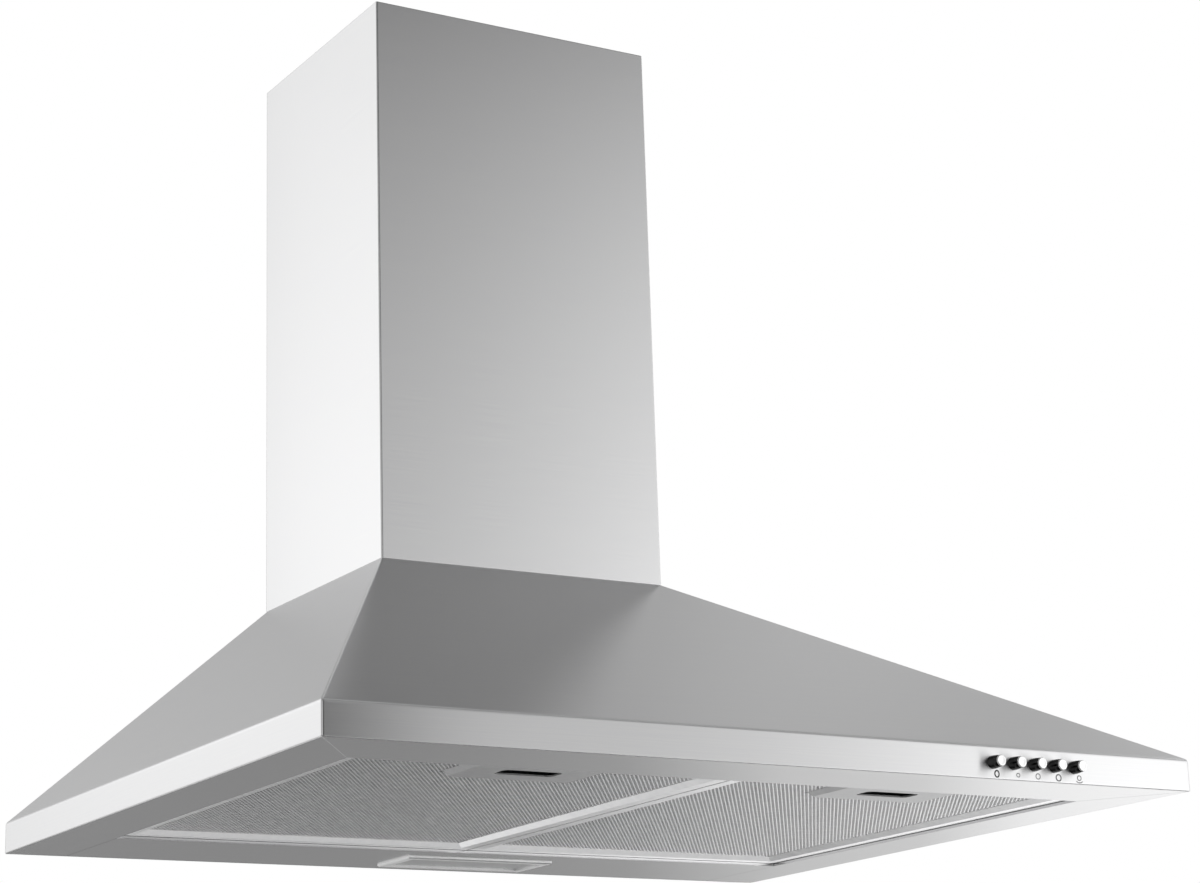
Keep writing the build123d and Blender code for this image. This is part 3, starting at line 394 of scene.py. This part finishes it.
black_plastic = moulded_plastic("moulded black nylon", "#2C2C2E", roughness=0.28, coarse_mm=0.8)
bezel_plastic = moulded_plastic("silver-lacquered polycarbonate", "#F6F6F6", roughness=0.50, coarse_mm=0.8)
socket_plastic = moulded_plastic("moulded white lampholder resin", "#DAD8D2", roughness=0.5, coarse_mm=1.0)
switch_plastic = moulded_plastic("moulded dark grey switch resin", "#2B2C2E", roughness=0.5, coarse_mm=1.0)
grey_plastic = moulded_plastic("moulded grey flame-retardant polypropylene", "#8B8D8F", roughness=0.45,
                               coarse_mm=1.2)
grommet_rubber = moulded_plastic("moulded black rubber", "#1B1B1B", roughness=0.75, coarse_mm=1.0)
# The bezel's lacquer is full of metal flakes, so that it gives the eye a pale, soft metallic reflection.
bezel_plastic.node_tree.nodes["Principled BSDF"].inputs["Metallic"].default_value = 1.0
dress(black_plastic, "latch_slider_left", "latch_slider_right")
dress(bezel_plastic, "lamp_bezel")
dress(socket_plastic, "lamp_socket")
dress(switch_plastic, "switch_block", "terminal_box", "terminal_cover")
dress(grey_plastic, "volute_left", "volute_right", "impeller", "duct_collar", "flap_front", "flap_rear")
dress(grommet_rubber, "cable_grommet")


# Push buttons: turned black nylon stems that taper towards a pressed bright metal cap. On the hood each one
# passes through its own hole in the band; the band skin here has no holes, so the stems run into it. The cap
# is a shallow cup with a rolled rim and a very slightly domed face.
def turned(profile, centre_x, centre_z, steps=40):
    """Surface of revolution about an axis along Y: each profile row gives a radius and a place along Y."""
    turn = np.linspace(0, 2 * math.pi, steps + 1)
    radius, along = np.array(profile).T
    x = centre_x + radius[:, None] * np.cos(turn)
    z = centre_z + radius[:, None] * np.sin(turn)
    y = np.broadcast_to(along[:, None], x.shape)
    return np.stack([x, y, z], axis=-1)


def close_seams(piece):
    """Merge the points of a turned piece that lie on each other, along its seam and at its poles."""
    shell = bmesh.new()
    shell.from_mesh(piece.data)
    bmesh.ops.remove_doubles(shell, verts=shell.verts, dist=0.001 * MM)
    shell.to_mesh(piece.data)
    shell.free()


# Nickel plate on the pressed caps: bright, with a haze of 1.5 mm patches that softens the reflections.
cap_metal, cap_shader = new_material("pressed bright nickel-plated cap")
haze_size = 1.5 * MM
cap_place = add_node(cap_metal, "ShaderNodeTexCoord")
cap_haze = add_node(cap_metal, "ShaderNodeTexNoise", {"Vector": cap_place.outputs["Object"],
                                                      "Scale": 1 / haze_size})
cap_gloss = add_node(cap_metal, "ShaderNodeMapRange", {"Value": cap_haze.outputs["Fac"], "To Min": 0.22,
                                                       "To Max": 0.34})
set_inputs(cap_metal, cap_shader, {"Base Color": linear("#E6E6E6"), "Metallic": 1.0,
                                   "Roughness": cap_gloss.outputs["Result"]})
stem_gloss = moulded_plastic("polished black nylon", "#080808", roughness=0.12, coarse_mm=1.0)
tail_radius, stem_radius, shoulder_radius = 3.9 * MM, 4.05 * MM, 3.95 * MM
neck_radius, tip_radius = 3.5 * MM, 3.3 * MM
straight_length, taper_length, tip_bevel = 1.2 * MM, 4.4 * MM, 0.3 * MM
foot_radius, cap_radius, edge_radius = 3.2 * MM, 3.4 * MM, 3.25 * MM
rim_radius, dish_radius = 2.9 * MM, 2.4 * MM
joint_gap, foot_bevel = 0.02 * MM, 0.3 * MM
wall_drop, edge_drop, dish_depth = 0.45 * MM, 0.12 * MM, 0.10 * MM
for button in range(1, 6):
    stem_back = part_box(f"button_{button}")[1][1]
    cap_low, cap_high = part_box(f"button_cap_{button}")
    button_x, button_z = (cap_low[0] + cap_high[0]) / 2, (cap_low[2] + cap_high[2]) / 2
    stem_end, cap_end = cap_high[1], cap_low[1]
    stem_profile = [
        (0.0, stem_back),
        (tail_radius, stem_back),
        (stem_radius, -hood_depth),
        (stem_radius, -hood_depth - straight_length),
        (shoulder_radius, stem_end + taper_length),
        (neck_radius, stem_end + tip_bevel),
        (tip_radius, stem_end),
        (0.0, stem_end),
    ]
    cap_profile = [
        (0.0, stem_end - joint_gap),
        (foot_radius, stem_end - joint_gap),
        (cap_radius, stem_end - foot_bevel),
        (cap_radius, cap_end + wall_drop),
        (edge_radius, cap_end + edge_drop),
        (rim_radius, cap_end),
        (dish_radius, cap_end + dish_depth),
        (0.0, cap_end),
    ]
    stem = put_surface(f"button_stem_{button}", turned(stem_profile, button_x, button_z), stem_gloss,
                       f"button_{button}")
    close_seams(stem)
    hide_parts(f"button_{button}")
    cap = put_surface(f"button_disc_{button}", turned(cap_profile, button_x, button_z), cap_metal,
                      f"button_{button}")
    close_seams(cap)
    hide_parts(f"button_cap_{button}")


# Button marks: screen-printed ink on the band below the buttons, a nought, three speeds and a lamp.
# The ink stands a twentieth of a millimetre proud and dries slightly mottled.
def printed_ink(name, colour):
    """Screen-printing ink: a dense matt film with faint 0.6 mm mottle."""
    mottle_size = 0.6 * MM
    material, shader = new_material(name)
    place = add_node(material, "ShaderNodeTexCoord")
    mottle = add_node(material, "ShaderNodeTexNoise", {"Vector": place.outputs["Object"],
                                                       "Scale": 1 / mottle_size})
    gloss = add_node(material, "ShaderNodeMapRange", {"Value": mottle.outputs["Fac"], "To Min": 0.45,
                                                      "To Max": 0.65})
    set_inputs(material, shader, {"Base Color": linear(colour), "Roughness": gloss.outputs["Result"]})
    return material


def ring_mark(name, centre_mm, half_mm, line_mm, ink, arc=(0.0, 2.0)):
    """Strip of ink on the front of the band, along an ellipse or an arc of it.

    A point is the centre plus half the width times the sine, and half the height times the cosine, of an
    angle that runs clockwise from the top; on the inner edge both halves are less by the line's width. The
    arc gives the first and the last angle as shares of a half turn.
    """
    arc_points = 33
    turn = np.linspace(arc[0] * math.pi, arc[1] * math.pi, arc_points)
    centre_x, centre_z = np.array(centre_mm) * MM
    edges = np.array([half_mm, np.subtract(half_mm, line_mm)]) * MM
    x = centre_x + edges[:, :1] * np.sin(turn)
    z = centre_z + edges[:, 1:] * np.cos(turn)
    y = np.full(x.shape, -hood_depth - ink_thickness)
    put_surface(name, np.stack([x, y, z], axis=-1), ink, "hood")


ink_thickness = 0.05 * MM
bold_ink = printed_ink("black screen-printing ink", "#161616")
thin_ink = printed_ink("grey screen-printing ink", "#77777A")
mark_z, lamp_mark_x = 3.25, 209.4
ring_mark("mark_off", (145.9, mark_z), (2.0, 2.4), 0.85, bold_ink)
ring_mark("mark_speed_1", (162.1, mark_z), (1.5, 1.4), 0.5, thin_ink)
ring_mark("mark_speed_2", (177.3, mark_z), (1.9, 1.9), 0.55, thin_ink)
ring_mark("mark_speed_3", (193.2, mark_z), (2.3, 2.3), 0.75, thin_ink)
ring_mark("mark_lamp", (lamp_mark_x, mark_z + 0.6), (1.7, 1.7), 0.55, thin_ink)
ring_mark("mark_lamp_foot", (lamp_mark_x, mark_z + 0.3), (3.4, 2.9), 0.55, thin_ink, arc=(0.72, 1.28))

# Lamp: a frosted polycarbonate lens in the bezel, over an opal bulb in a galvanised housing.
# The lens is stippled on its inner side, so that it looks pale and even when unlit.
lens_plastic = moulded_plastic("stippled opal polycarbonate", "#C4C5C5", roughness=0.3, coarse_mm=1.5)
bulb_glass = moulded_plastic("opal bulb glass", "#EDEDEA", roughness=0.12, coarse_mm=4.0)
dress(lens_plastic, "lamp_lens")
dress(bulb_glass, "lamp_bulb")


# Hidden steel: galvanised back panel, lamp housing and brackets, the phosphated motor and its shaft, and the
# zinc-plated flap pin and screws. They are pressed, turned or folded, and keep their CAD shapes.
def coated_steel(name, dark, light, roughness, spangle_mm):
    """Zinc-coated or phosphated steel: angular crystal cells that differ slightly in tone and gloss."""
    gloss_spread = 0.06
    material, shader = new_material(name)
    place = add_node(material, "ShaderNodeTexCoord")
    spangle = add_node(material, "ShaderNodeTexVoronoi", {"Vector": place.outputs["Object"],
                                                          "Scale": 1 / (spangle_mm * MM)})
    cell = add_node(material, "ShaderNodeSeparateColor", {"Color": spangle.outputs["Color"]})
    tone = add_node(material, "ShaderNodeValToRGB", {"Fac": cell.outputs["Red"]})
    dark_end, light_end = tone.color_ramp.elements
    dark_end.color = linear(dark)
    light_end.color = linear(light)
    gloss = add_node(material, "ShaderNodeMapRange", {"Value": cell.outputs["Green"],
                                                      "To Min": roughness - gloss_spread,
                                                      "To Max": roughness + gloss_spread})
    set_inputs(material, shader, {"Base Color": tone.outputs["Color"], "Metallic": 1.0,
                                  "Roughness": gloss.outputs["Result"]})
    return material


galvanised = coated_steel("hot-dip galvanised sheet", "#A2A5A8", "#BDC0C2", roughness=0.42, spangle_mm=8.0)
motor_steel = coated_steel("phosphated motor steel", "#55585B", "#63666A", roughness=0.45, spangle_mm=3.0)
zinc_steel = coated_steel("zinc-plated steel", "#B7B8B4", "#CBCCC8", roughness=0.3, spangle_mm=2.0)
dress(galvanised, "back_panel", "lamp_housing", "switch_bracket", "motor_bracket")
dress(motor_steel, "motor", "shaft")
dress(zinc_steel, "flap_pin", "collar_screws", "chimney_screws")

# Studio: pale floor, grey cards out of the picture that shade the steel, and a white surround.
# Each card's glow runs smoothly from dark to light along its length and its height.
card_paint = bpy.data.materials.new("lit studio card")
card_paint.use_nodes = True
card_paint.node_tree.nodes.remove(card_paint.node_tree.nodes["Principled BSDF"])
card_shade = add_node(card_paint, "ShaderNodeAttribute", attribute_name="shade")
card_glow = add_node(card_paint, "ShaderNodeEmission", {"Strength": card_shade.outputs["Fac"]})
card_output = card_paint.node_tree.nodes["Material Output"]
set_inputs(card_paint, card_output, {"Surface": card_glow.outputs["Emission"]})


def studio_card(name, corner, along, upright, stops, rows):
    """Flat card whose glow runs smoothly between points.

    Each stop gives a place along the card and the glow there; each row gives a level up the card and the
    share of that glow it keeps.
    """
    places, glow = np.array(stops).T
    levels, shares = np.array(rows).T
    sideways = places[None, :, None] * np.array(along)
    points = np.array(corner) + sideways + levels[:, None, None] * np.array(upright)
    mesh = bpy.data.meshes.new(name)
    mesh.from_pydata(points.reshape(-1, 3).tolist(), [], grid_faces(len(levels), len(places)).tolist())
    shade = mesh.attributes.new("shade", "FLOAT", "POINT")
    shade.data.foreach_set("value", np.outer(shares, glow).ravel().astype(np.float32))
    mesh.materials.append(card_paint)
    card = bpy.data.objects.new(name, mesh)
    bpy.context.scene.collection.objects.link(card)
    card.visible_camera = False


def seen_glow(owner, unseen, seen):
    """Glow that is one value to the camera, in reflections and through glass, and another as light."""
    ray = add_node(owner, "ShaderNodeLightPath")
    mirrored = add_node(owner, "ShaderNodeMath", {0: ray.outputs["Is Camera Ray"],
                                                  1: ray.outputs["Is Glossy Ray"]},
                        operation="MAXIMUM")
    looked_at = add_node(owner, "ShaderNodeMath", {0: mirrored.outputs["Value"],
                                                   1: ray.outputs["Is Transmission Ray"]},
                         operation="MAXIMUM")
    glow = add_node(owner, "ShaderNodeMapRange", {"Value": looked_at.outputs["Value"], "To Min": unseen,
                                                  "To Max": seen})
    return glow.outputs["Result"]


card_distance, side_distance, under_height, ceiling_height = 1.5, 3.0, -1.6, 3.0
front, rear = (0, -card_distance, 0), (0, card_distance, 0)
rightward, upward, backward = (1, 0, 0), (0, 0, 1), (0, 1, 0)
full_width = [(-side_distance, 1.0), (side_distance, 1.0)]
full_height = [(under_height, 1.0), (ceiling_height, 1.0)]
studio_card("front_low_card", front, rightward, upward,
            [(-3.0, 0.9), (-0.8, 0.8), (-0.2, 0.03), (0.2, 0.03), (0.29, 0.95), (0.5, 0.74), (0.74, 0.98),
             (1.1, 1.9), (1.3, 1.9), (2.0, 0.9), (3.0, 0.8)],
            [(-1.6, 1.0), (0.35, 1.0)])
studio_card("front_high_card", front, rightward, upward,
            [(-3.0, 0.9), (-0.8, 0.8), (-0.2, 0.1), (0.16, 0.1), (0.27, 0.66), (0.58, 0.77), (1.1, 1.4),
             (1.3, 1.4), (2.0, 0.9), (3.0, 0.8)],
            [(0.35, 0.94), (0.56, 0.87), (0.87, 0.74), (1.2, 0.53), (1.45, 0.17), (3.0, 0.0)])
studio_card("rear_low_card", rear, rightward, upward,
            [(-3.0, 1.0), (-0.6, 1.0), (-0.2, 0.26), (0.75, 0.29), (1.1, 0.36), (1.36, 0.6), (1.6, 0.66),
             (1.8, 0.95), (3.0, 1.3)],
            [(-0.6, 1.0), (0.0, 1.0)])
studio_card("rear_floor_card", rear, rightward, upward,
            [(-3.0, 1.0), (-0.4, 0.4), (-0.1, 1.15), (0.3, 1.15), (0.43, 0.15), (0.9, 0.15), (1.4, 1.5),
             (3.0, 2.0)],
            [(-1.6, 1.0), (-0.7, 1.0), (-0.6, 0.7)])
studio_card("rear_middle_card", rear, rightward, upward,
            [(-3.0, 1.27), (-0.76, 1.27), (-0.62, 0.65), (-0.4, 0.55), (0.1, 0.49), (3.0, 0.45)],
            [(0.0, 0.95), (0.6, 1.09), (1.25, 0.96)])
studio_card("rear_high_card", rear, rightward, upward,
            [(-3.0, 1.15), (-0.76, 1.15), (-0.5, 0.6), (0.0, 0.34), (1.3, 0.37), (1.56, 0.59), (1.8, 0.76),
             (3.0, 0.46)],
            [(1.25, 1.0), (3.0, 1.0)])
studio_card("under_card", (0, 0, under_height), backward, rightward,
            [(-2.5, 0.06), (0.2, 0.06), (0.7, 0.8), (1.5, 1.0)], full_width)
studio_card("left_card", (-side_distance, 0, 0), backward, upward,
            [(-1.5, 0.6), (-0.3, 0.4), (0.6, 0.6), (1.5, 1.1)], full_height)
studio_card("right_card", (side_distance, 0, 0), backward, upward, [(-1.5, 1.5), (1.5, 0.7)], full_height)
studio_card("ceiling_card", (0, 0, ceiling_height), backward, rightward,
            [(-1.5, 0.65), (0.6, 0.4), (1.2, 0.12), (1.5, 0.1)], full_width)

world = bpy.data.worlds.new("studio surround")
bpy.context.scene.world = world
world.use_nodes = True
surround = world.node_tree.nodes["Background"]
surround_light, surround_seen = 0.45, 1.0
set_inputs(world, surround, {"Color": linear("#FFFFFF"),
                             "Strength": seen_glow(world, surround_light, surround_seen)})

floor_half, floor_height = 40.0, -2.4
floor_light, floor_seen = 0.0, 0.45
floor_paint, floor_shader = new_material("pale matt studio floor")
set_inputs(floor_paint, floor_shader, {"Base Color": linear("#E8E8E6"), "Roughness": 0.9,
                                       "Emission Color": linear("#FFFFFF"),
                                       "Emission Strength": seen_glow(floor_paint, floor_light, floor_seen)})
floor_signs = ((-1, -1), (1, -1), (1, 1), (-1, 1))
floor_corners = [(x * floor_half, y * floor_half, floor_height) for x, y in floor_signs]
floor_mesh = bpy.data.meshes.new("floor")
floor_mesh.from_pydata(floor_corners, [], [(0, 1, 2, 3)])
floor_mesh.materials.append(floor_paint)
floor = bpy.data.objects.new("floor", floor_mesh)
bpy.context.scene.collection.objects.link(floor)

# Camera below the left front corner, looking up at the hood through a long lens. Its place, turn and focal
# length come from a perspective fit of the hood's corners in the photograph.
yaw, pitch, roll = 0.539057747, 0.268205391, -0.0310255028
camera_place = (-0.922600, -1.834780, -0.248036)
sensor_width, focal_pixels, picture_pixels = 36.0, 2834.337, 1200
forward = np.array([math.sin(yaw) * math.cos(pitch), math.cos(yaw) * math.cos(pitch), math.sin(pitch)])
level_right = np.array([math.cos(yaw), -math.sin(yaw), 0.0])
level_up = np.cross(level_right, forward)
right = math.cos(roll) * level_right + math.sin(roll) * level_up
up = math.cos(roll) * level_up - math.sin(roll) * level_right
camera_turn = Matrix(np.stack([right, up, -forward], axis=1).tolist()).to_4x4()
camera_data = bpy.data.cameras.new("camera")
camera_data.sensor_fit = "HORIZONTAL"
camera_data.sensor_width = sensor_width
camera_data.lens = sensor_width * focal_pixels / picture_pixels
camera = bpy.data.objects.new("camera", camera_data)
camera.matrix_world = Matrix.Translation(camera_place) @ camera_turn
bpy.context.scene.collection.objects.link(camera)
bpy.context.scene.camera = camera
bpy.context.scene.view_settings.view_transform = "Standard"
